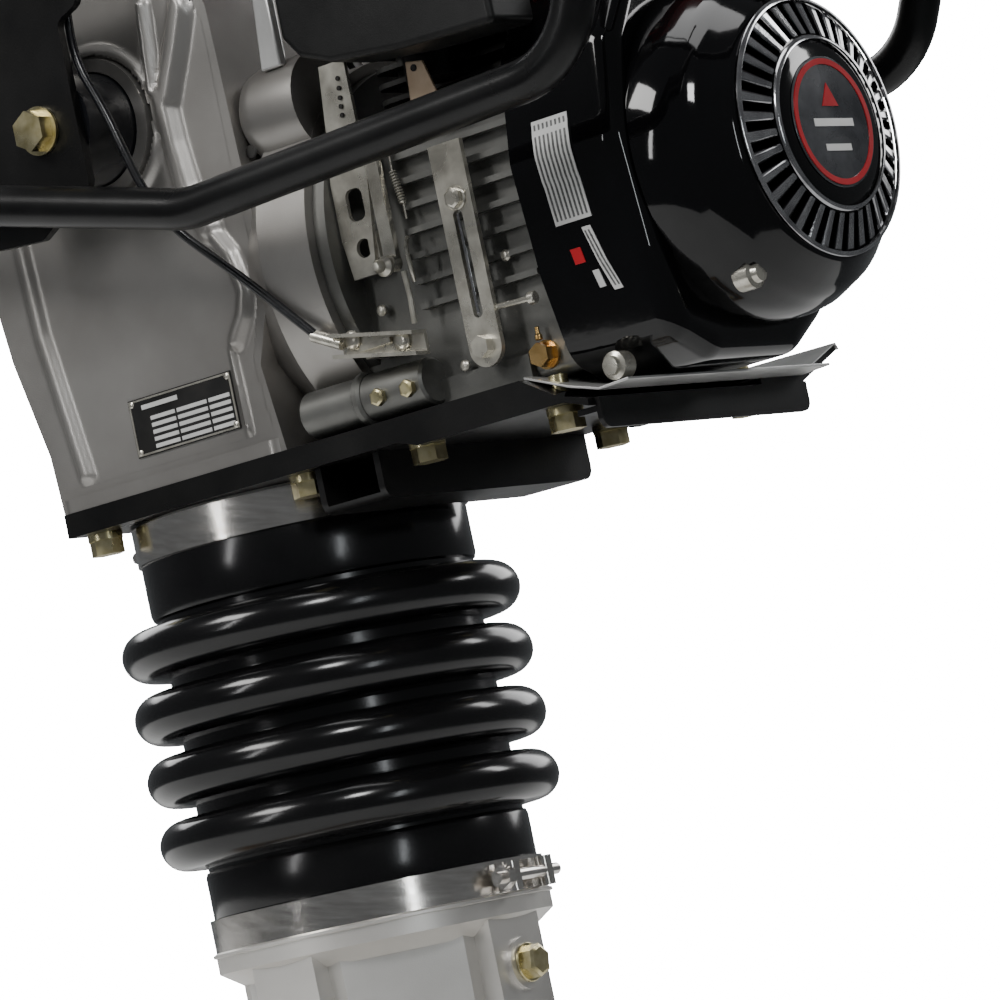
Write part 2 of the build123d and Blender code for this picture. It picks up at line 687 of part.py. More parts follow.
def handle_top_loop():
    route = [(-RAIL_X, RAIL_FRONT, RAIL_LOW - 14), (-RAIL_X, TOP_FRONT, RAIL_TOP),
             (-RAIL_X, GRIP_Y, RAIL_TOP),
             (RAIL_X, GRIP_Y, RAIL_TOP), (RAIL_X, TOP_FRONT, RAIL_TOP), (RAIL_X, RAIL_FRONT, RAIL_LOW - 14)]
    return along(route, RAIL_R, [55, 50, 50, 55], RAIL_R - 2.5)


def hand_grip(side):
    return ring_x(16, RAIL_R, side * 14, side * 84, GRIP_Y, RAIL_TOP)


def mount_bracket():
    """Plate that joins the right guard rail to its shock mount."""
    outline = [(-22, 170), (-22, 258), (-38, 264), (-38, 290), (46, 290), (62, 200), (56, 153), (18, 150)]
    plate = prism_x(outline, 134, 139)
    plate = fillet(plate.edges().filter_by(Axis.X), 6)
    plate -= rod_x(6.3, 130, 150, MOUNT_Y, MOUNT_Z)
    return plate


def shock_mount(side):
    """Rubber buffer between gearbox and handle."""
    near = WALL_X - 1.9
    block = rod_x(MOUNT_R, side * near, side * 133.7, MOUNT_Y, MOUNT_Z)
    return block - rod_x(6.1, side * 110, side * 140, MOUNT_Y, MOUNT_Z)


def lifting_bar():
    """Cross bar of the handle with the lifting eye on it, and the two tank straps."""
    bar = box(-RAIL_X + RAIL_R, RAIL_X - RAIL_R, 62, 88, RAIL_TOP - 6, RAIL_TOP)
    bar += box(-6, 6, 64, 86, RAIL_TOP - 1, EYE_Z - EYE_R - 2)
    bar += ring_x(23, EYE_R, -6, 6, 75, EYE_Z)
    return Compound([bar] + tank_straps())


def fuel_tank():
    tank = box(-106, 106, -150, 50, TANK_LOW, TANK_LOW + 84)
    tank = fillet(tank.edges().filter_by(Axis.Z), 34)
    tank = fillet(tank.faces().sort_by(Axis.Z)[-1].edges(), 16)
    room = box(-103, 103, -147, 47, TANK_LOW + 3, TANK_LOW + 81)
    room = fillet(room.edges().filter_by(Axis.Z), 31)
    return tank - fillet(room.faces().sort_by(Axis.Z)[-1].edges(), 14)


def tank_straps():
    """Flat bars under the tank, hung from the top rails."""
    group = []
    for y in (-92.0, 20.0):
        strap = box(-RAIL_X + 2, RAIL_X - 2, y - 12, y + 12, TANK_LOW - 5, RAIL_TOP - RAIL_R + 1)
        group.append(strap - box(-RAIL_X + 6, RAIL_X - 6, y - 20, y + 20, TANK_LOW - 0.1, RAIL_TOP + 20))
    return group


def fuel_cap():
    cap = rod_z(27, TANK_LOW + 84.2, TANK_LOW + 103, 30, -60)
    for k in range(12):
        angle = 2 * math.pi * k / 12
        x, y = 30 + 28.5 * math.cos(angle), -60 + 28.5 * math.sin(angle)
        cap -= rod_z(3, TANK_LOW + 80, TANK_LOW + 110, x, y)
    return cap


def fuel_tap_body():
    return rod_z(8, 888, TANK_LOW - 0.1, -60, -128) + rod_z(4, 874, 888, -60, -128)


def fuel_tap_lever():
    return rod_x(6, -78, -68.3, -128, 902) + box(-77, -72, -131, -125, 878, 902)


def handlebar_brackets():
    """Clamp under the throttle lever, and the stop switch's box on the other rail."""
    clamp = ring_y(15, RAIL_R, -222, -192, -RAIL_X, RAIL_TOP)
    clamp += rod_z(10, RAIL_TOP + 12, RAIL_TOP + 20, -RAIL_X, LEVER_Y)
    shell = box(RAIL_X - 17, RAIL_X + 17, LEVER_Y - 16, LEVER_Y + 16, RAIL_TOP + 11.1, RAIL_TOP + 33)
    shell = fillet(shell.edges().filter_by(Axis.Z), 6)
    shell -= rod_z(9.3, RAIL_TOP + 23, RAIL_TOP + 40, RAIL_X, LEVER_Y)
    return Compound([clamp, shell])


def throttle_lever():
    lever = rod_z(12, RAIL_TOP + 20.3, RAIL_TOP + 26, -RAIL_X, LEVER_Y)
    lever += box(-RAIL_X + 4, -RAIL_X + 66, LEVER_Y - 5, LEVER_Y + 5, RAIL_TOP + 21, RAIL_TOP + 25)
    return lever + Pos(-RAIL_X + 68, LEVER_Y, RAIL_TOP + 23) * Sphere(8)


def stop_button():
    stem = rod_z(9.0, RAIL_TOP + 27.5, RAIL_TOP + 38, RAIL_X, LEVER_Y)
    return stem + rod_z(11.5, RAIL_TOP + 38, RAIL_TOP + 42, RAIL_X, LEVER_Y)


# ---- held lines ----
def cable_route():
    """Throttle cable from the lever down inside the guard rail to the clip on the engine."""
    return [(-RAIL_X + 14, -196, 1026), (-RAIL_X + 22, -140, 1030), (-127, -80, 1020), (-127, -15, 990),
            (-127, 56, 940), (-128, 106, 880), (-129, 127, 825), to_part(-130, -21, 238),
            to_part(-130, -34.5, 207), to_part(-129.5, -40.5, 187), to_part(-126, -46.5, 160),
            to_part(-119, -57.5, 136), to_part(-109, -87, 103), to_part(-100.5, -122, 62.5)]


def throttle_cable():
    points = cable_route()
    return along(points, 2.4, route_radii(points))


def fuel_hose_route():
    return [(-60, -128, 873.0), to_part(-61, -275, 243), to_part(-66, -254, 220), to_part(-68, -224.6, 214)]


def fuel_hose():
    points = fuel_hose_route()
    return along(points, 4.5, route_radii(points), 2.5)


def starter_grip():
    """T-handle on the rope, resting on top of the starter cover."""
    handle = fillet(rod_x(9, PULL_X - 26, PULL_X + 26, PULL_Y, PULL_Z).edges(), 5)
    return handle + rod_z(5, PULL_Z - 17, PULL_Z - 6, PULL_X, PULL_Y)


# ---- writing ----
def write(name, shape):
    shape.label = name
    export_step(shape, "parts/" + name + ".step")


def leg_frame_parts():
    parts = {
        "deck_plate": deck_plate(),
        "frame_bolts": frame_bolts(),
        "rear_tray": rear_tray(),
        "cross_channel": cross_channel(),
        "cylinder_flange": cylinder_flange(),
        "guide_cylinder": guide_cylinder(),
        "gearbox_housing": gearbox_housing(),
        "name_plate": name_plate(),
        "bellows": bellows(),
        "bellows_clamp_upper": band_clamp(-22, -2, 0),
        "bellows_clamp_lower": band_clamp(-236, -216, 186),
        "spring_cylinder": spring_cylinder(),
        "crank_gear": crank_gear(),
        "bearings": bearings(),
        "connecting_rod": connecting_rod(),
        "crank_pin": crank_pin(),
        "crosshead": crosshead(),
        "wrist_pin": wrist_pin(),
        "piston_rod": piston_rod(),
        "ram_springs": ram_springs(),
        "clutch_drum": clutch_drum(),
        "clutch_hub": clutch_hub(),
        "engine_crankcase": engine_crankcase(),
        "engine_cylinder": engine_cylinder(),
        "cylinder_head": cylinder_head(),
        "spark_plug": spark_plug(),
        "muffler": muffler(),
        "carburetor": carburetor(),
        "air_cleaner_cover": air_cleaner_cover(),
        "fan_shroud": fan_shroud(),
        "recoil_housing": recoil_housing(),
        "engine_shaft": engine_shaft(),
        "flywheel": flywheel(),
        "recoil_pulley": recoil_pulley(),
        "oil_drain_plug": oil_drain_plug(),
        "control_bracket": control_bracket(),
        "throttle_arm": throttle_arm(),
        "governor_arm": governor_arm(),
        "cable_clamp": cable_clamp(),
        "starter_grip": starter_grip(),
        "mount_brackets": Compound([mount_bracket(), mirror(mount_bracket(), about=Plane.YZ)]),
        "shock_mounts": Compound([shock_mount(-1), shock_mount(1)]),
    }
    return {name: LEG * shape for name, shape in parts.items()}


def upright_parts():
    return {
        "leg_casting": leg_casting(),
        "shoe_casting": shoe_casting(),
        "shoe_laminate": shoe_laminate(),
        "shoe_sole": shoe_sole(),
        "shoe_bolts": shoe_bolts(),
        "handle_top_loop": handle_top_loop(),
        "guard_rails": guard_rails(),
        "hand_grips": Compound([hand_grip(-1), hand_grip(1)]),
        "lifting_bar": lifting_bar(),
        "fuel_tank": fuel_tank(),
        "fuel_cap": fuel_cap(),
        "fuel_tap": fuel_tap_body(),
        "fuel_tap_lever": fuel_tap_lever(),
        "fuel_hose": fuel_hose(),
        "handlebar_brackets": handlebar_brackets(),
        "throttle_lever": throttle_lever(),
        "stop_button": stop_button(),
        "throttle_cable": throttle_cable(),
    }


def main():
    os.makedirs("parts", exist_ok=True)
    parts = leg_frame_parts() | upright_parts()
    for name, shape in parts.items():
        write(name, shape)
    print("cable radii", [round(r) for r in route_radii(cable_route())])
    print(len(parts), "nodes")


main()
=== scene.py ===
import bmesh
import bpy
import json
import math
from mathutils import Matrix, Vector


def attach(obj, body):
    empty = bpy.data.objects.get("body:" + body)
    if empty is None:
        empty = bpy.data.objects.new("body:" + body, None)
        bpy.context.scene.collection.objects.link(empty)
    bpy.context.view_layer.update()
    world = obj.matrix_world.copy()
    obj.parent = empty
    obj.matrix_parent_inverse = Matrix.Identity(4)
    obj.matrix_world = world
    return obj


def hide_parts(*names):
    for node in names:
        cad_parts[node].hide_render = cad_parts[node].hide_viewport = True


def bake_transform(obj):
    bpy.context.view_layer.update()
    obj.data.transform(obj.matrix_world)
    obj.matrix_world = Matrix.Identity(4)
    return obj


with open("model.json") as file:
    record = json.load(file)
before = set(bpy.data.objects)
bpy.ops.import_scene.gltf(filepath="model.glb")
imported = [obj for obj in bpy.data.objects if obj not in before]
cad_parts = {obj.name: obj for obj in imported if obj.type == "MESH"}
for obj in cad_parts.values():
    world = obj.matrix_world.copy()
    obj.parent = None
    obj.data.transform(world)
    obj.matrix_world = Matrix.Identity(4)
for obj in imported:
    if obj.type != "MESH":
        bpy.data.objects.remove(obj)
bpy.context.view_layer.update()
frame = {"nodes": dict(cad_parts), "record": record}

# Shapes are drawn in millimetres in the leg frame: z along the leg with 0 at the deck's underside,
# y forward, x right. LEG turns them into the part's own frame, in metres, where the camera, the
# lights and the floor are placed.
MM = 0.001
LEAN = math.radians(-15)
DECK_HEIGHT = 560
LEG_FOOT_Y = -70
LEG = (Matrix.Scale(MM, 4) @ Matrix.Translation((0, LEG_FOOT_Y, 0)) @ Matrix.Rotation(LEAN, 4, "X")
       @ Matrix.Translation((0, 0, DECK_HEIGHT)))


# ---- camera and light ----
def unit(azimuth, elevation):
    a, e = math.radians(azimuth), math.radians(elevation)
    return Vector((math.sin(a) * math.cos(e), -math.cos(a) * math.cos(e), math.sin(e)))


def add_camera():
    """The camera stands behind the machine's left side and looks at the bellows and the engine."""
    azimuth, elevation, distance = -50.5, 2.9, 3.0
    aside, below = 0.0772, 0.0735
    focal_length, sensor_width = 201.5, 36
    back = unit(azimuth, elevation)
    right = Vector((math.cos(math.radians(azimuth)), math.sin(math.radians(azimuth)), 0))
    up = back.cross(right)
    target = LEG @ Vector((0, -60, 60))
    place = target + back * distance
    aim = target + right * aside - up * below
    data = bpy.data.cameras.new("camera")
    data.lens = focal_length
    data.sensor_width = sensor_width
    data.clip_end = 50
    camera = bpy.data.objects.new("camera", data)
    bpy.context.collection.objects.link(camera)
    camera.location = place
    camera.rotation_euler = (aim - place).to_track_quat("-Z", "Y").to_euler()
    bpy.context.scene.camera = camera


# Each light: name, place, (width, height) in metres, power in watts, colour. All aim at LIT_POINT.
LIT_POINT = (0, 0, 0.65)
NEUTRAL = (1, 1, 1)
LIGHTS = [
    ("key", (-2.2, 1.3, 2.2), (1.1, 0.7), 48, (1, 0.99, 0.97)),
    ("window", (-2.9, 0.9, 1.15), (0.16, 1.2), 10, NEUTRAL),
    ("strip_back", (-1.5, -2.8, 1.5), (0.14, 1.1), 9, (0.92, 0.97, 1)),
    ("high_left", (-1.9, -1.1, 2.6), (0.5, 0.5), 34, NEUTRAL),
    ("rim", (1.9, -1.6, 2.2), (0.5, 0.9), 20, NEUTRAL),
    ("front", (0.9, 2.7, 1.6), (1.4, 1.4), 26, NEUTRAL),
    ("right", (2.8, 0.1, 1.5), (1.4, 1.4), 26, NEUTRAL),
    ("top", (0, 0.1, 3.2), (1.6, 1.6), 40, NEUTRAL),
]


def add_light(name, place, size, power, colour):
    data = bpy.data.lights.new(name, "AREA")
    data.shape = "RECTANGLE"
    data.size, data.size_y = size
    data.energy = power
    data.color = colour
    light = bpy.data.objects.new(name, data)
    bpy.context.collection.objects.link(light)
    light.location = place
    light.rotation_euler = (Vector(LIT_POINT) - Vector(place)).to_track_quat("-Z", "Y").to_euler()


def add_studio():
    """White backdrop for the camera, a faint cool surround for everything else, and the lights."""
    world = bpy.data.worlds.new("studio")
    bpy.context.scene.world = world
    world.use_nodes = True
    nodes, links = world.node_tree.nodes, world.node_tree.links
    nodes.clear()
    out = nodes.new("ShaderNodeOutputWorld")
    mix = nodes.new("ShaderNodeMixShader")
    path = nodes.new("ShaderNodeLightPath")
    seen = nodes.new("ShaderNodeBackground")
    seen.inputs["Color"].default_value = (1, 1, 1, 1)
    seen.inputs["Strength"].default_value = 24.0
    around = nodes.new("ShaderNodeBackground")
    around.inputs["Color"].default_value = (0.92, 0.96, 1, 1)
    around.inputs["Strength"].default_value = 0.13
    links.new(path.outputs["Is Camera Ray"], mix.inputs["Fac"])
    links.new(around.outputs[0], mix.inputs[1])
    links.new(seen.outputs[0], mix.inputs[2])
    links.new(mix.outputs[0], out.inputs["Surface"])
    for light in LIGHTS:
        add_light(*light)


# ---- materials ----
NOISE_LOW, NOISE_HIGH = 0.3, 0.7
WEAR_TO_GRAIN = 0.35


def ramp(nodes, low, high):
    """Colour ramp over the middle of a noise texture's range."""
    node = nodes.new("ShaderNodeValToRGB")
    node.color_ramp.elements[0].position = NOISE_LOW
    node.color_ramp.elements[1].position = NOISE_HIGH
    node.color_ramp.elements[0].color = (*low, 1)
    node.color_ramp.elements[1].color = (*high, 1)
    return node


def material(name, low, high, rough=(0.3, 0.5), metallic=0.0, grain=60.0, bump=0.1, bump_scale=900.0,
             stretch=(1, 1, 1), coat=0.0, specular=0.5, bump_depth=0.0002):
    """Principled surface with mottled colour, uneven roughness and fine bump, all procedural."""
    made = bpy.data.materials.new("look_" + name)
    made.use_nodes = True
    nodes, links = made.node_tree.nodes, made.node_tree.links
    shader = nodes["Principled BSDF"]
    place = nodes.new("ShaderNodeTexCoord")
    mapping = nodes.new("ShaderNodeMapping")
    mapping.inputs["Scale"].default_value = stretch
    links.new(place.outputs["Object"], mapping.inputs["Vector"])
    mottle = nodes.new("ShaderNodeTexNoise")
    mottle.inputs["Scale"].default_value = grain
    mottle.inputs["Detail"].default_value = 5
    links.new(mapping.outputs[0], mottle.inputs["Vector"])
    tint = ramp(nodes, low, high)
    links.new(mottle.outputs["Fac"], tint.inputs["Fac"])
    links.new(tint.outputs["Color"], shader.inputs["Base Color"])
    wear = nodes.new("ShaderNodeTexNoise")
    wear.inputs["Scale"].default_value = grain * WEAR_TO_GRAIN
    wear.inputs["Detail"].default_value = 3
    links.new(mapping.outputs[0], wear.inputs["Vector"])
    spread = nodes.new("ShaderNodeMapRange")
    spread.inputs["From Min"].default_value = NOISE_LOW
    spread.inputs["From Max"].default_value = NOISE_HIGH
    spread.inputs["To Min"].default_value = rough[0]
    spread.inputs["To Max"].default_value = rough[1]
    links.new(wear.outputs["Fac"], spread.inputs["Value"])
    links.new(spread.outputs[0], shader.inputs["Roughness"])
    fine = nodes.new("ShaderNodeTexNoise")
    fine.inputs["Scale"].default_value = bump_scale
    fine.inputs["Detail"].default_value = 2
    links.new(mapping.outputs[0], fine.inputs["Vector"])
    relief = nodes.new("ShaderNodeBump")
    relief.inputs["Strength"].default_value = bump
    relief.inputs["Distance"].default_value = bump_depth
    links.new(fine.outputs["Fac"], relief.inputs["Height"])
    links.new(relief.outputs[0], shader.inputs["Normal"])
    shader.inputs["Metallic"].default_value = metallic
    shader.inputs["Coat Weight"].default_value = coat
    shader.inputs["Specular IOR Level"].default_value = specular
    return made


# Colours run from low to high with the mottle. The first nineteen names are the record's slots.
FINISHES = {
    "bellows_rubber": dict(
        low=(0.0022, 0.0022, 0.0025), high=(0.0045, 0.0045, 0.0048), rough=(0.13, 0.22),
        grain=35, bump=0.10, bump_scale=420, specular=0.40),
    "cast_aluminium": dict(
        low=(0.56, 0.54, 0.51), high=(0.70, 0.685, 0.655), rough=(0.34, 0.48),
        metallic=0.8, grain=14, bump=0.30, bump_scale=1500),
    "engine_casting": dict(
        low=(0.105, 0.105, 0.098), high=(0.165, 0.165, 0.155), rough=(0.36, 0.52),
        metallic=0.75, grain=30, bump=0.35, bump_scale=1300),
    "black_plate": dict(
        low=(0.0028, 0.0028, 0.0030), high=(0.0060, 0.0058, 0.0056), rough=(0.26, 0.42),
        grain=40, bump=0.25, bump_scale=800, specular=0.28),
    "black_tube": dict(
        low=(0.0024, 0.0024, 0.0026), high=(0.0050, 0.0050, 0.0052), rough=(0.26, 0.38),
        grain=50, bump=0.25, bump_scale=700, specular=0.26),
    "gloss_black": dict(
        low=(0.0012, 0.0012, 0.0014), high=(0.0024, 0.0024, 0.0028), rough=(0.05, 0.10),
        grain=20, bump=0.03, bump_scale=160, coat=0.15, bump_depth=0.0008, specular=0.27),
    "black_plastic": dict(
        low=(0.0035, 0.0035, 0.0036), high=(0.0070, 0.0070, 0.0070), rough=(0.34, 0.50),
        grain=60, bump=0.3, bump_scale=1600, specular=0.3),
    "red_plastic": dict(
        low=(0.26, 0.010, 0.008), high=(0.36, 0.020, 0.015), rough=(0.22, 0.34),
        grain=25, bump=0.15, bump_scale=900),
    "yellow_zinc": dict(
        low=(0.44, 0.38, 0.19), high=(0.66, 0.60, 0.38), rough=(0.22, 0.38),
        metallic=1.0, grain=160, bump=0.15, bump_scale=900),
    "zinc": dict(
        low=(0.40, 0.38, 0.33), high=(0.60, 0.58, 0.51), rough=(0.20, 0.38),
        metallic=0.8, grain=120, bump=0.15, bump_scale=900),
    "stainless": dict(
        low=(0.62, 0.59, 0.55), high=(0.80, 0.77, 0.73), rough=(0.12, 0.22),
        metallic=1.0, grain=60, bump=0.12, bump_scale=900, stretch=(1, 1, 6)),
    "machined_steel": dict(
        low=(0.36, 0.36, 0.37), high=(0.52, 0.52, 0.52), rough=(0.2, 0.35),
        metallic=1.0, grain=80, bump=0.15, bump_scale=1200),
    "spring_steel": dict(
        low=(0.05, 0.055, 0.065), high=(0.10, 0.10, 0.11), rough=(0.35, 0.5),
        metallic=0.5),
    "brass": dict(
        low=(0.55, 0.34, 0.12), high=(0.74, 0.50, 0.22), rough=(0.2, 0.32),
        metallic=1.0, grain=120),
    "rubber": dict(
        low=(0.0030, 0.0032, 0.0040), high=(0.0060, 0.0064, 0.0080), rough=(0.20, 0.34),
        grain=70, bump=0.25, specular=0.4),
    "laminated_wood": dict(
        low=(0.19, 0.10, 0.05), high=(0.36, 0.23, 0.12), rough=(0.45, 0.65),
        grain=24, bump=0.5, bump_scale=300, stretch=(1, 1, 16)),
    "wear_steel": dict(
        low=(0.18, 0.175, 0.17), high=(0.34, 0.33, 0.31), rough=(0.35, 0.6),
        metallic=0.9, grain=26, bump=0.4, bump_scale=500),
    "muffler_steel": dict(
        low=(0.28, 0.26, 0.23), high=(0.46, 0.44, 0.42), rough=(0.35, 0.55),
        metallic=0.9, grain=22, bump=0.3, bump_scale=700),
    "plate_print": dict(
        low=(0.006, 0.006, 0.006), high=(0.014, 0.013, 0.012), rough=(0.3, 0.45),
        grain=80, metallic=0.2),
    "label_white": dict(
        low=(0.42, 0.42, 0.41), high=(0.52, 0.52, 0.51), rough=(0.3, 0.45),
        grain=60),
    "label_ink": dict(
        low=(0.03, 0.03, 0.03), high=(0.12, 0.12, 0.12), rough=(0.3, 0.45),
        grain=700),
    "housing_casting": dict(
        low=(0.27, 0.258, 0.243), high=(0.37, 0.358, 0.342), rough=(0.32, 0.45),
        metallic=0.85, grain=14, bump=0.30, bump_scale=1500),
    "dark_casting": dict(
        low=(0.034, 0.034, 0.032), high=(0.060, 0.060, 0.056), rough=(0.4, 0.55),
        metallic=0.6, grain=30, bump=0.35, bump_scale=1300),
    # Light metal: painted reflection on the starter's vent bars and rims, whose real fins are gloss black;
    # also the finish of the rod on the governor arm.
    "chrome_and_painted_sheen": dict(
        low=(0.20, 0.20, 0.21), high=(0.44, 0.44, 0.45), rough=(0.10, 0.2),
        metallic=0.9, grain=70),
    # Light steel for the stay, the tray's wing and the badge bars; on the tray's top it is painted
    # reflection.
    "light_steel_and_painted_sheen": dict(
        low=(0.46, 0.46, 0.45), high=(0.60, 0.60, 0.59), rough=(0.34, 0.5),
        metallic=0.8, grain=30, bump=0.2),
    "badge_dark": dict(
        low=(0.030, 0.032, 0.036), high=(0.060, 0.062, 0.068), rough=(0.15, 0.3),
        grain=90, metallic=0.4),
    "badge_red": dict(
        low=(0.30, 0.008, 0.012), high=(0.42, 0.016, 0.022), rough=(0.15, 0.3),
        grain=40),
    # Near-black for discs set where a hole or recess shows only painted shade.
    "painted_hole_shade": dict(
        low=(0.004, 0.0035, 0.003), high=(0.010, 0.008, 0.006), rough=(0.5, 0.7),
        grain=90),
    "rope": dict(
        low=(0.010, 0.010, 0.010), high=(0.05, 0.05, 0.05), rough=(0.6, 0.8),
        grain=500, bump=0.6, bump_scale=1800),
    "tan_sheet": dict(
        low=(0.34, 0.25, 0.17), high=(0.46, 0.36, 0.26), rough=(0.3, 0.45),
        metallic=0.5, grain=60),
}
PALETTE = {name: material(name, **look) for name, look in FINISHES.items()}
SLOT_OF = {row["node"]: row["material_slot"] for row in frame["record"]["subparts"]}
BODY_OF = {node: body for body, nodes in frame["record"]["behaviour"]["bodies"].items() for node in nodes}


def paint_cad_nodes():
    """Give every CAD node the finish of its slot."""
    for name, node in frame["nodes"].items():
        node.data.materials.clear()
        node.data.materials.append(PALETTE[SLOT_OF[name]])


# ---- shapes: each is (points, faces) in millimetres ----
def lathe(profile, steps=48, turn=0.0):
    """Closed outline of (radius, height) turned about z."""
    points, faces, rows = [], [], len(profile)
    for k in range(steps):
        a = turn + 2 * math.pi * k / steps
        points += [(r * math.cos(a), r * math.sin(a), z) for r, z in profile]
    for k in range(steps):
        here, there = k * rows, ((k + 1) % steps) * rows
        for i in range(rows):
            j = (i + 1) % rows
            faces.append((here + i, there + i, there + j, here + j))
    return points, faces


def disc(r, z0, z1, edge=0.6, steps=40):
    """Round plate with a small chamfer on both rims."""
    return lathe([(0, z0), (r - edge, z0), (r, z0 + edge), (r, z1 - edge), (r - edge, z1), (0, z1)], steps)


def hexagon(width, z0, z1, edge=0.8):
    """Hexagon head, width across flats, with its top edge taken off."""
    r = width / math.sqrt(3)
    return lathe([(0, z0), (r, z0), (r, z1 - edge), (r - edge * 1.6, z1), (0, z1)], 6)


def screw_head(r, z0, z1):
    """Pan head, half of its height straight and the rest domed."""
    middle = z0 + (z1 - z0) * 0.5
    return lathe([(0, z0), (r, z0), (r, middle), (r * 0.75, z1 - 0.3), (r * 0.4, z1), (0, z1)], 28)


def block(x0, x1, y0, y1, z0, z1):
    points = [(x, y, z) for x in (x0, x1) for y in (y0, y1) for z in (z0, z1)]
    faces = [(0, 1, 3, 2), (4, 6, 7, 5), (0, 4, 5, 1), (2, 3, 7, 6), (0, 2, 6, 4), (1, 5, 7, 3)]
    return points, faces


def prism_x(outline, x0, x1):
    """Outline of (y, z) points drawn out along x."""
    count = len(outline)
    points = [(x, y, z) for x in (x0, x1) for y, z in outline]
    faces = [tuple(range(count))[::-1], tuple(range(count, 2 * count))]
    faces += [(i, (i + 1) % count, count + (i + 1) % count, count + i) for i in range(count)]
    return points, faces


def smooth_line(points, rounds=3):
    """Corner cutting that keeps the two ends."""
    line = [Vector(p) for p in points]
    for _ in range(rounds):
        cut = [line[0]]
        for a, b in zip(line, line[1:]):
            cut += [a * 0.75 + b * 0.25, a * 0.25 + b * 0.75]
        line = cut + [line[-1]]
    return line


def sweep(points, r, steps=10):
    """Round section carried along a line of points."""
    line = [Vector(p) for p in points]
    made, faces = [], []
    side = None
    for i, here in enumerate(line):
        ahead = (line[min(i + 1, len(line) - 1)] - line[max(i - 1, 0)]).normalized()
        if side is None:
            side = ahead.cross(Vector((0.3, 0.2, 1))).normalized()
        side = (side - ahead * side.dot(ahead)).normalized()
        up = ahead.cross(side)
        for k in range(steps):
            a = 2 * math.pi * k / steps
            made.append(tuple(here + (side * math.cos(a) + up * math.sin(a)) * r))
    for i in range(len(line) - 1):
        for k in range(steps):
            j = (k + 1) % steps
            faces.append((i * steps + k, i * steps + j, (i + 1) * steps + j, (i + 1) * steps + k))
    faces.append(tuple(range(steps))[::-1])
    faces.append(tuple(range((len(line) - 1) * steps, len(line) * steps)))
    return made, faces


def moved(shape, x=0.0, y=0.0, z=0.0, axis="z", turn=0.0):
    """The shape's own z axis laid along axis, then the shape is carried to a place."""
    tilt = {"z": Matrix.Identity(4), "-z": Matrix.Rotation(math.pi, 4, "X"),
            "x": Matrix.Rotation(math.pi / 2, 4, "Y"), "-x": Matrix.Rotation(-math.pi / 2, 4, "Y"),
            "y": Matrix.Rotation(-math.pi / 2, 4, "X"), "-y": Matrix.Rotation(math.pi / 2, 4, "X")}[axis]
    place = Matrix.Translation((x, y, z)) @ tilt @ Matrix.Rotation(turn, 4, "Z")
    points, faces = shape
    return [tuple(place @ Vector(p)) for p in points], faces


def joined(*shapes):
    """Several shapes as one."""
    points, faces = [], []
    for some, sides in shapes:
        start = len(points)
        points += some
        faces += [tuple(start + i for i in side) for side in sides]
    return points, faces


WELD = 2e-6
BEVEL_FROM = 40


def add_mesh(name, shape, finish, place=LEG, sharp=35, bevel=0.0):
    """Welded, smoothly shaded object; sharp is an angle in degrees and bevel a width in millimetres."""
    points, faces = shape
    mesh = bpy.data.meshes.new(name)
    mesh.from_pydata([place @ Vector(p) for p in points], [], faces)
    work = bmesh.new()
    work.from_mesh(mesh)
    bmesh.ops.remove_doubles(work, verts=work.verts, dist=WELD)
    bmesh.ops.recalc_face_normals(work, faces=work.faces)
    work.to_mesh(mesh)
    work.free()
    mesh.validate()
    mesh.shade_smooth()
    mesh.set_sharp_from_angle(angle=math.radians(sharp))
    mesh.materials.append(PALETTE[finish])
    made = bpy.data.objects.new(name, mesh)
    bpy.context.collection.objects.link(made)
    if bevel:
        rounding = made.modifiers.new("edges", "BEVEL")
        rounding.width = bevel * MM
        rounding.segments = 2
        rounding.limit_method = "ANGLE"
        rounding.angle_limit = math.radians(BEVEL_FROM)
    return made


def piece(name, shape, finish, body="machine", place=LEG, sharp=35, bevel=0.0):
    """One added piece that rides on a body."""
    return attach(add_mesh(name, shape, finish, place, sharp, bevel), body)


# ---- the CAD's own surfaces, welded and smoothly shaded ----
def cad_shape(node):
    """A CAD node's points, in metres in the part's frame, and its faces."""
    mesh = frame["nodes"][node].data
    world = frame["nodes"][node].matrix_world
    points = [tuple(world @ v.co) for v in mesh.vertices]
    return points, [tuple(p.vertices) for p in mesh.polygons]


# Nodes whose castings look darker than their slot's finish.
DARKER = {"engine_cylinder": "dark_casting", "cylinder_head": "dark_casting",
          "gearbox_housing": "housing_casting"}


def smooth_copy(node, sharp=32):
    finish = DARKER.get(node, SLOT_OF[node])
    made = add_mesh(node + "_finish", cad_shape(node), finish, Matrix.Identity(4), sharp)
    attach(made, BODY_OF[node])
    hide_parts(node)


SMOOTHED = ["air_cleaner_cover", "bellows_clamp_lower", "bellows_clamp_upper", "cable_clamp", "carburetor",
            "control_bracket", "cross_channel", "cylinder_flange", "cylinder_head", "deck_plate",
            "engine_crankcase", "engine_cylinder", "fan_shroud", "frame_bolts", "fuel_cap", "fuel_tank",
            "fuel_tap", "fuel_tap_lever", "gearbox_housing", "governor_arm", "guard_rails", "hand_grips",
            "handle_top_loop", "handlebar_brackets", "leg_casting", "lifting_bar", "mount_brackets",
            "muffler", "oil_drain_plug", "rear_tray", "recoil_housing", "shock_mounts", "shoe_bolts",
            "shoe_casting", "shoe_laminate", "shoe_sole", "spark_plug", "starter_grip", "stop_button",
            "throttle_arm", "throttle_lever"]
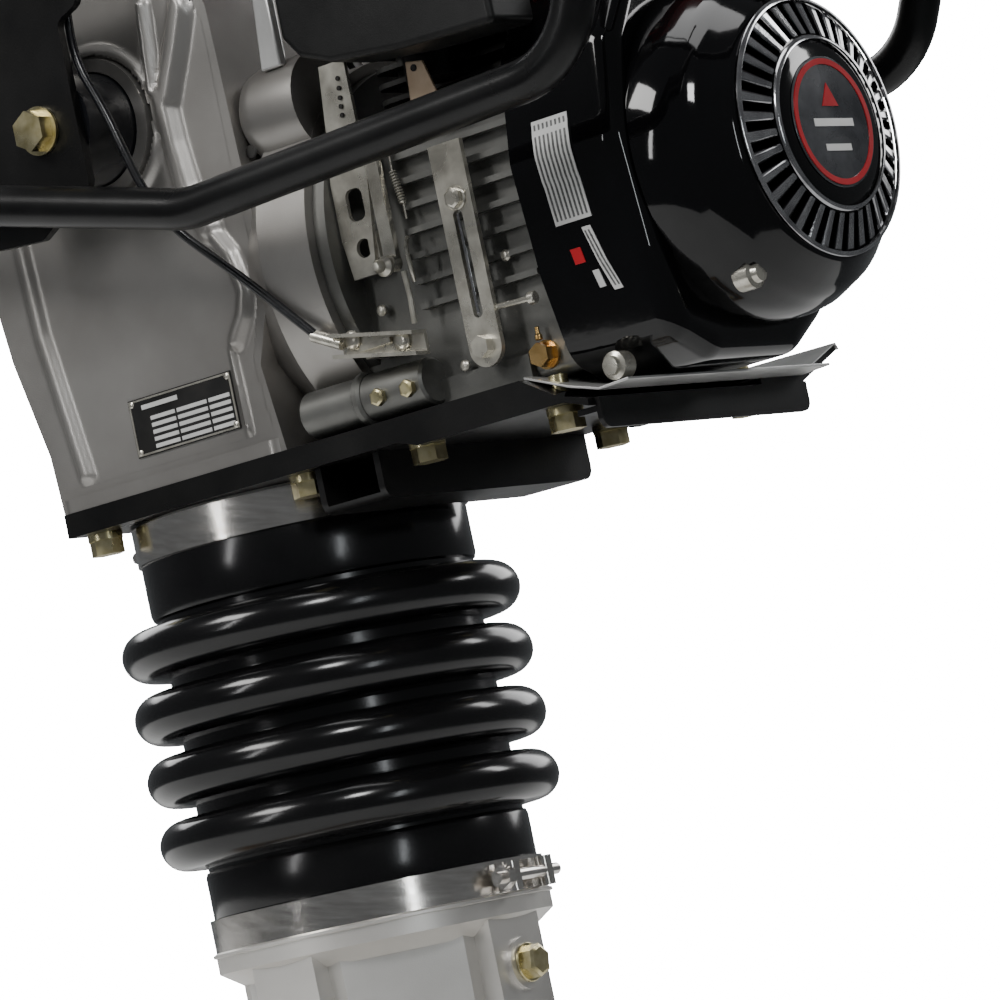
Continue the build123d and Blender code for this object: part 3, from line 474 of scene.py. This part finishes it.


# ---- soft pieces ----
def add_bellows():
    """Rubber bellows turned from a fine profile: two cuffs and four lobes."""
    crest, lobe, valley, pitch, first = 96.0, 13.5, 81.0, 34.5, -70.0
    arc_steps = 24
    profile = [(88.6, -1.6), (89.5, -2.6), (89.5, -49), (88.6, -52)]
    for n in range(4):
        z = first - n * pitch
        profile.append((valley + 0.6, z + lobe + 1.6))
        for step in range(arc_steps + 1):
            a = math.radians(90 - 180 / arc_steps * step)
            profile.append((crest + lobe * math.cos(a), z + lobe * math.sin(a)))
        profile.append((valley + 0.6, z - lobe - 1.6))
    profile += [(87.6, -190.5), (88.5, -193), (88.5, -234.6), (87.6, -235.4), (86.3, -235.4), (86.3, -1.6)]
    made = add_mesh("bellows_skin", lathe(profile, 120), "bellows_rubber", sharp=50)
    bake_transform(made)
    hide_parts("bellows")


def add_bent_copy(node):
    """Welded, smoothly shaded copy of a soft node, which takes the node's place."""
    made = add_mesh(node + "_finish", cad_shape(node), SLOT_OF[node], Matrix.Identity(4), 40)
    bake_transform(made)
    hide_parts(node)


# ---- gearbox details ----
def reach(y, z, line):
    """Distance from a point of the side wall to a line of (y, z) points."""
    here, best = Vector((y, z)), 1e9
    for a, b in zip(line, line[1:]):
        a, b = Vector(a), Vector(b)
        t = max(0.0, min(1.0, (here - a).dot(b - a) / (b - a).length_squared))
        best = min(best, (here - a - (b - a) * t).length)
    return best


def ease(t):
    """0 to 1 with a soft start and end."""
    t = max(0.0, min(1.0, t))
    return t * t * (3 - 2 * t)


# Flat side wall of the gearbox: outline, distance from the middle, and the round mount in it.
WALL = [(82, 24), (84, 46), (97, 100), (101, 140), (97, 213), (82, 258), (48, 290),
        (-38, 296), (-66, 286), (-80, 246), (-82, 100), (-69, 62), (-73, 24), (82, 24)]
WALL_X = 92
EDGE_FADE = 6
MOUNT_Y, MOUNT_Z = 4, 206
MOUNT_HOLE = 39
RING_RADIUS, RING_HALF, RING_HEIGHT = 41, 5.5, 3.4

# Each rib: line of (y, z) points, half width, height. The skin itself stands SKIN off the wall, and a
# flatness above 1 gives ribs and ring a level top.
RIBS = [([(-43, 262), (-39, 216), (-44, 210)], 5.0, 5.5),
        ([(-72, 262), (-60, 236), (-47, 211)], 10.5, 6.0),
        ([(-44, 212), (-45, 186), (-48, 160), (-57, 137)], 10.0, 6.0),
        ([(-57, 137), (-68, 120), (-73, 100), (-69, 88), (-60, 76)], 6.5, 5.0),
        ([(-55, 72), (-56, 22)], 2.6, 2.2),
        ([(62, 30), (74, 110), (78, 190), (64, 240)], 7.0, 3.2),
        ([(30, 262), (62, 240)], 7.0, 3.0)]
SKIN = 0.15
RIB_FLATNESS, RING_FLATNESS = 1.25, 1.3


def wall_height(y, z):
    """How far the cast ribs stand out from the flat side wall."""
    high = SKIN
    for line, half, height in RIBS:
        high = max(high, SKIN + height * ease(RIB_FLATNESS * (1 - reach(y, z, line) / half)))
    from_ring = abs(math.hypot(y - MOUNT_Y, z - MOUNT_Z) - RING_RADIUS)
    high = max(high, SKIN + RING_HEIGHT * ease(RING_FLATNESS * (1 - from_ring / RING_HALF)))
    return SKIN + (high - SKIN) * ease(reach(y, z, WALL) / EDGE_FADE)


def inside_wall(y, z):
    """True inside the wall's outline and outside the round mount."""
    odd = False
    for (y1, z1), (y2, z2) in zip(WALL, WALL[1:]):
        if (z1 > z) != (z2 > z) and y < y1 + (z - z1) * (y2 - y1) / (z2 - z1):
            odd = not odd
    return odd and math.hypot(y - MOUNT_Y, z - MOUNT_Z) > MOUNT_HOLE


def wall_skin(side):
    """Height field of the ribs over one side wall of the gearbox."""
    first_y, first_z, step, columns, rows = -86, 20, 1.6, 121, 176
    index, points, faces = {}, [], []
    for i in range(columns):
        for k in range(rows):
            y, z = first_y + i * step, first_z + k * step
            if inside_wall(y, z):
                index[i, k] = len(points)
                points.append((side * (WALL_X + wall_height(y, z)), y, z))
    for i, k in index:
        corners = [(i, k), (i + 1, k), (i + 1, k + 1), (i, k + 1)]
        if all(c in index for c in corners):
            faces.append(tuple(index[c] for c in corners))
    return points, faces


def add_wall_ribs():
    for side, name in ((-1, "left"), (1, "right")):
        piece("housing_ribs_" + name, wall_skin(side), "housing_casting", sharp=70)


def add_bell_lug():
    """Cast lug between the gearbox and the engine, a dark disc of painted shade for its screw hole, and
    the steel stay beside it.
    """
    lug = lathe([(0, 0), (27, 0), (27, 30), (25, 38), (20, 43), (0, 44)], 40)
    piece("bell_lug", moved(lug, -66, -129.5, 187, "y"), "housing_casting", sharp=50)
    # Dark disc of painted shade at the screw hole.
    piece("lug_screw_hole_shade", moved(disc(3.8, 0, 1.4), -84.6, -89.5, 170, "-x"), "painted_hole_shade")
    stay = prism_x([(-107, 208), (-111, 250), (-121, 248), (-121, 208)], -86, -80)
    piece("lug_stay", stay, "light_steel_and_painted_sheen", bevel=1.2)


def add_name_plate():
    """Pins, rows of print and raised border of the plate on the left side wall."""
    face = -93.0
    pin = screw_head(1.7, 0, 0.9)
    pins = [moved(pin, face, y, z, "-x") for y in (-48.5, 20.5) for z in (33.5, 59.5)]
    piece("name_plate_pins", joined(*pins), "zinc")
    columns = ((-48, -33), (-31.5, -10), (-8.5, 9))
    levels = (33.8, 37.6, 41.4, 45.2, 49.0)
    print_x, row_height = face - 0.2, 2.1
    rows = [block(print_x, face, y0, y1, z, z + row_height) for z in levels for y0, y1 in columns]
    rows.append(block(print_x, face, -12, 14, 55.5, 58))
    piece("name_plate_rows", joined(*rows), "label_white")
    back, front, low, high = -49.5, 21.5, 32.6, 60.4
    border_x, upright, level = face - 0.25, 1.1, 1.0
    borders = joined(block(border_x, face, back, front, high, high + level),
                     block(border_x, face, back, front, low - level, low),
                     block(border_x, face, back - upright, back, low - level, high + level),
                     block(border_x, face, front, front + upright, low - level, high + level))
    piece("name_plate_frame", borders, "zinc")


def add_top_cover_bolts():
    cover_top = 306.2
    bolts = [moved(hexagon(10, 0, 5), x, y, cover_top, "z") for x in (-70, 70) for y in (-30, 36)]
    piece("top_cover_bolts", joined(*bolts), "yellow_zinc")


# ---- engine details ----
def add_throttle_linkage():
    """Dark discs of painted shade for the slotted strip's holes, the throttle arm's ball and the link rod.
    """
    # The strip's holes are dark discs of painted shade.
    holes = [moved(disc(1.3, 0, 0.5), -88.3, y, z, "-x") for y, z in
             ((-158.5, 191), (-158, 186), (-157.5, 181), (-157, 176.5), (-156.5, 172))]
    piece("strip_hole_shade", joined(*holes), "painted_hole_shade")
    ball = lathe([(0, 0), (5.4, 0), (5.4, 2), (3.2, 4), (3.4, 7), (2.2, 9), (0, 9.4)], 24)
    piece("arm_ball", moved(ball, -95, -169.6, 89, "-x"), "zinc", body="throttle_arm")
    rod = sweep([(-93.4, -179, 84), (-93.6, -180, 70), (-92, -178, 57)], 1.5)
    hook = sweep(smooth_line([(-89.6, -183, 101), (-94, -184, 96), (-93, -184, 84), (-90, -182, 78)]), 1.1)
    piece("link_rod", joined(rod, hook), "zinc")


def tension_spring(x, y, z0, z1):
    """Upright coil spring between two straight tails; its top ends up drift further forward."""
    radius, wire, tail, drift = 1.7, 0.5, 8, 3
    turns, around, eighth_turn = 12, 8, 0.7854
    count = turns * around
    coil = []
    for k in range(count + 1):
        a = k * eighth_turn
        rise = k / count
        coil.append((x + radius * math.cos(a), y + radius * math.sin(a) + drift * rise,
                     z0 + tail + (z1 - z0 - 2 * tail) * rise))
    lower = sweep([(x, y, z0), (x, y, z0 + tail + 0.5)], 0.6, 6)
    upper = sweep([(x, y + drift, z1 - tail - 0.5), (x, y + drift, z1)], 0.6, 6)
    return joined(sweep(coil, wire, 5), lower, upper)


def add_governor_springs():
    spring_x, top = -84.6, 145
    springs = [tension_spring(spring_x, y, bottom, top) for y, bottom in ((-169, 113), (-181, 111))]
    piece("governor_springs", joined(*springs), "zinc")


def add_tan_plate():
    """Bent tab behind the carburettor, with one hole drawn as a dark disc of painted shade."""
    face = -91.6
    tab = prism_x([(-203.5, 158), (-206, 187), (-217, 185), (-225, 158)], face, -90.2)
    piece("tan_plate", tab, "tan_sheet", bevel=0.4)
    # The tab's hole is a dark disc of painted shade.
    piece("tan_plate_hole_shade", moved(disc(1.8, 0, 0.4), face, -211, 182.5, "-x"), "painted_hole_shade")


def add_cable_clamp_details():
    """Screws and bar of the throttle cable's clamp, and the cable's ferrule."""
    face = -96.6
    screw = screw_head(5.2, 0, 3)
    screws = [moved(screw, face, y, z, "-x") for y, z in ((-140, 57.2), (-172, 49.4))]
    bar = block(face - 3, face, -166, -146, 50, 53)
    ferrule = sweep([(-100.5, -118, 65), (-100.5, -136, 56.4)], 3.4, 16)
    piece("clamp_screws", joined(bar, ferrule, *screws), "zinc")


def add_governor_arm_details():
    """Bolt and rod on the governor arm, and the stop beside it."""
    bolt_y, bolt_z = -220.5, 112
    bolt = joined(moved(hexagon(9, 0, 4), -92.1, bolt_y, bolt_z, "-x"),
                  moved(disc(6.4, 0, 1.0), -92.0, bolt_y, bolt_z, "-x"))
    piece("arm_bolt", bolt, "zinc", body="governor")
    rod = block(-93.1, -92.0, -221.1, -219.4, 52, 104)
    piece("arm_slot_rod", rod, "chrome_and_painted_sheen", body="governor", bevel=0.3)
    stop = joined(sweep([(-89, -228, 53), (-93, -256, 51.5)], 1.6, 10),
                  moved(disc(3.4, 0, 4), -93, -254, 51.5, "-y"))
    piece("idle_stop", stop, "zinc")


def add_crankcase_details():
    """Screws, the oil level tube with its bolts, and the drain plug's stub."""
    places = ((-150, 70), (-236, 78), (-196, 30))
    screws = [moved(screw_head(3, 0, 2.4), -80.4, y, z, "-x") for y, z in places]
    piece("case_screws", joined(*screws), "zinc")
    tube_x, tube_z = -84.5, 27
    tube = joined(moved(disc(12.5, 0, 84, 1.5), tube_x, -94, tube_z, "-y"),
                  moved(disc(14.5, 0, 6, 1.5), tube_x, -131, tube_z, "-y"))
    piece("oil_level_tube", tube, "engine_casting")
    bolts = [moved(hexagon(8, 0, 4), -96.9, y, 25, "-x") for y in (-150, -170)]
    piece("tube_bolts", joined(*bolts), "yellow_zinc")
    stub = joined(disc(2, 0, 3, 0.4), disc(1.2, 0, 7, 0.3))
    piece("plug_stub", moved(stub, -81.6, -246, 31.6), "brass")


# ---- blower housing and starter details ----
# Left wall of the blower housing as (z, x) points. Stickers stand off further where the wall turns.
SHROUD_LEFT = [(16, -80), (60, -91), (118, -97), (170, -88)]
TURN_LOW, TURN_HIGH, TURN_CLEARANCE = 104, 130, 0.5


def shroud_side(z):
    """Left wall of the blower housing: its x at height z."""
    for (z1, x1), (z2, x2) in zip(SHROUD_LEFT, SHROUD_LEFT[1:]):
        if z1 <= z <= z2:
            return x1 + (x2 - x1) * (z - z1) / (z2 - z1)
    return SHROUD_LEFT[-1][1]


def label(name, y0, y1, z0, z1, finish, lean=0.0, rows=14, lift=0.0):
    """Thin sticker that follows the blower housing's left wall and leans forward by lean."""
    off_wall, thickness = 0.55, 0.4
    points, faces = [], []
    for k in range(rows + 1):
        z = z0 + (z1 - z0) * k / rows
        clearance = TURN_CLEARANCE if TURN_LOW < z < TURN_HIGH else 0
        face = shroud_side(z) - off_wall - lift - clearance
        back = face + thickness
        rear, front = y0 + lean * k / rows, y1 + lean * k / rows
        points += [(face, rear, z), (face, front, z), (back, front, z), (back, rear, z)]
    for k in range(rows):
        a, b = 4 * k, 4 * k + 4
        faces += [(a + i, a + (i + 1) % 4, b + (i + 1) % 4, b + i) for i in range(4)]
    faces += [(3, 2, 1, 0), (4 * rows, 4 * rows + 1, 4 * rows + 2, 4 * rows + 3)]
    piece(name, (points, faces), finish)


def add_stickers():
    """Generic stickers on the blower housing; the lines stand for print."""
    print_lift = 0.15
    label("blower_label", -303, -280, 82, 136, "label_white", 1.5)
    for k in range(8):
        y = -301.5 + 2.7 * k
        label("blower_label_line_%d" % k, y, y + 1.2, 84, 134, "label_ink", 1.5, lift=print_lift)
    label("blower_strip", -308.5, -303, 44, 78, "label_white", 8)
    for k in range(2):
        y = -307.4 + 2.2 * k
        label("blower_strip_line_%d" % k, y, y + 1.0, 46, 76, "label_ink", 8, 8, print_lift)
    label("blower_mark", -299, -295, 47, 56, "label_white", 1, 4)
    label("blower_spot", -292, -285.5, 61, 69, "badge_red", 1, 4)


# Recoil starter: its axis stands at height FAN_Z and its face looks backward at FACE_Y.
FAN_Z = 106
FACE_Y = -392
BADGE_Y = FACE_Y - 0.1
VENT_COUNT = 36
BAR_FACES = [(0, 1, 2, 3), (7, 6, 5, 4), (0, 4, 5, 1), (1, 5, 6, 2), (2, 6, 7, 3), (3, 7, 4, 0)]


def vent_bar(angle):
    """Bar along a radius of the starter's cone: wider toward the rim, narrower on top than below."""
    inner, outer = 44, 67
    cone_start, cone_drop = 2, 8
    corners = [(-1.9, 46.5), (1.9, 46.5), (2.6, 63.5), (-2.6, 63.5)]
    points = []
    for level, width in ((0.15, 1.0), (0.9, 0.62)):
        for side, r in corners:
            y = FACE_Y + cone_start + (r - inner) * cone_drop / (outer - inner) - level
            x = r * math.sin(angle) + side * width * math.cos(angle)
            z = r * math.cos(angle) - side * width * math.sin(angle)
            points.append((x, y, FAN_Z + z))
    return points, BAR_FACES


def add_vents():
    # Bars and rims are coloured light metal as painted reflection; the real fins are gloss black.
    bars = [vent_bar(math.radians(10 * k + 5)) for k in range(VENT_COUNT)]
    piece("vent_bars", joined(*bars), "chrome_and_painted_sheen", sharp=30)
    outer = lathe([(65, 7.4), (66.6, 7.6), (67.4, 8.6), (66.5, 9.6), (65, 9.2)], 96)
    inner = lathe([(43.2, 0.7), (45, 1.0), (45.6, 2.6), (43.6, 2.2)], 96)
    rings = moved(joined(outer, inner), 0, FACE_Y - 0.9, FAN_Z, "y")
    piece("vent_rings", rings, "chrome_and_painted_sheen", sharp=60)


def add_badge():
    """Plain badge in the middle of the starter: ring, triangle and two bars."""
    piece("badge", moved(disc(34, 0, 0.8, 0.3, 72), 0, BADGE_Y, FAN_Z, "-y"), "badge_dark")
    ring = lathe([(29.6, 0.7), (32.6, 0.7), (32.6, 1.3), (29.6, 1.3)], 96)
    piece("badge_ring", moved(ring, 0, BADGE_Y, FAN_Z, "-y"), "badge_red")
    triangle = lathe([(0, 0.7), (8, 0.7), (8, 1.2), (0, 1.2)], 3)
    piece("badge_mark", moved(triangle, 0, BADGE_Y, FAN_Z + 12, "-y", 1.57), "badge_red")
    bar_back, bar_face = FACE_Y - 0.8, FACE_Y - 1.2
    bars = joined(block(-17, 17, bar_face, bar_back, FAN_Z - 2.4, FAN_Z + 1.6),
                  block(-11, 11, bar_face, bar_back, FAN_Z - 15, FAN_Z - 11.5))
    piece("badge_lines", bars, "light_steel_and_painted_sheen")


def add_housing_screws():
    starter = lathe([(0, 0), (7.5, 0), (7.5, 9), (5.2, 10), (4.6, 13), (0, 13.4)], 28)
    piece("starter_screws", moved(starter, -49, -352, 37, "-y"), "zinc")
    blower = lathe([(0, 0), (7.2, 0), (7.2, 9), (5, 10), (4.6, 12.6), (0, 13)], 28)
    piece("blower_screws", moved(blower, -76, -291, 8, "-x"), "zinc")


def add_starter_rope():
    """Rope between the starter and its grip."""
    route = [(46, -352, 168 + 2 * k) for k in range(12)]
    rope = add_mesh("starter_rope", sweep(route, 2.2, 10), "rope")
    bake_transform(rope)


# ---- deck, tray and leg details ----
def add_tray_details():
    """Light sheet on the rear tray's top as painted reflection at a grazing angle, and the folded wing on
    its right.
    """
    # The light sheet is painted reflection: the tray's top is black and looks light only where it catches
    # light at a grazing angle.
    sheen_sheet = prism_x([(-236, 13.6), (-262, 3.4), (-281, -2), (-300, -1),
                      (-300, 0.4), (-281, -0.6), (-262, 4.8), (-236, 15)], -88, 88)
    piece("tray_painted_sheen", sheen_sheet, "light_steel_and_painted_sheen", bevel=0.3)
    fold = [(50, -1.7), (86, -1.7), (121.2, 13.2), (123.2, 10),
            (124, 10.2), (121.8, 14), (85.6, -1.2), (50, -1.2)]
    count = len(fold)
    points = [(x, y, z) for y in (-283.0, -216.0) for x, z in fold]
    faces = [tuple(range(count)), tuple(range(count, 2 * count))[::-1]]
    faces += [(i, (i + 1) % count, count + (i + 1) % count, count + i) for i in range(count)]
    piece("tray_wing", (points, faces), "light_steel_and_painted_sheen")


def add_leg_details():
    """Bolt in the leg's side and the rolled bead around its top rim."""
    bolt_x, bolt_z = 2, -272
    bolt = joined(moved(disc(10.5, 0, 1.6, 0.4), bolt_x, -90.6, bolt_z, "-y"),
                  moved(hexagon(15.5, 0, 7.5, 1.2), bolt_x, -92.2, bolt_z, "-y", 0.35))
    piece("leg_bolt", bolt, "yellow_zinc", body="foot")
    bead = lathe([(91.2, -233.6), (93.0, -234.6), (93.0, -236.0), (91.2, -236.6)], 96)
    piece("leg_rim_bead", bead, "cast_aluminium", body="foot", sharp=60)


def build_details():
    for node in SMOOTHED:
        smooth_copy(node)
    add_bellows()
    add_bent_copy("throttle_cable")
    add_bent_copy("fuel_hose")
    add_wall_ribs()
    add_bell_lug()
    add_name_plate()
    add_top_cover_bolts()
    add_throttle_linkage()
    add_governor_springs()
    add_tan_plate()
    add_cable_clamp_details()
    add_governor_arm_details()
    add_crankcase_details()
    add_stickers()
    add_vents()
    add_badge()
    add_housing_screws()
    add_starter_rope()
    add_tray_details()
    add_leg_details()


def add_floor():
    """Pale round floor under the machine."""
    radius, steps = 1.25, 96
    turns = [2 * math.pi * k / steps for k in range(steps)]
    rim = [(radius * math.cos(a), radius * math.sin(a), 0) for a in turns]
    mesh = bpy.data.meshes.new("floor")
    mesh.from_pydata(rim, [], [tuple(range(steps))])
    floor = bpy.data.objects.new("floor", mesh)
    bpy.context.collection.objects.link(floor)
    finish = material("pale_floor", (0.80, 0.80, 0.79), (0.86, 0.86, 0.85), (0.5, 0.7), grain=3)
    mesh.materials.append(finish)


add_camera()
add_studio()
add_floor()
paint_cad_nodes()
build_details()
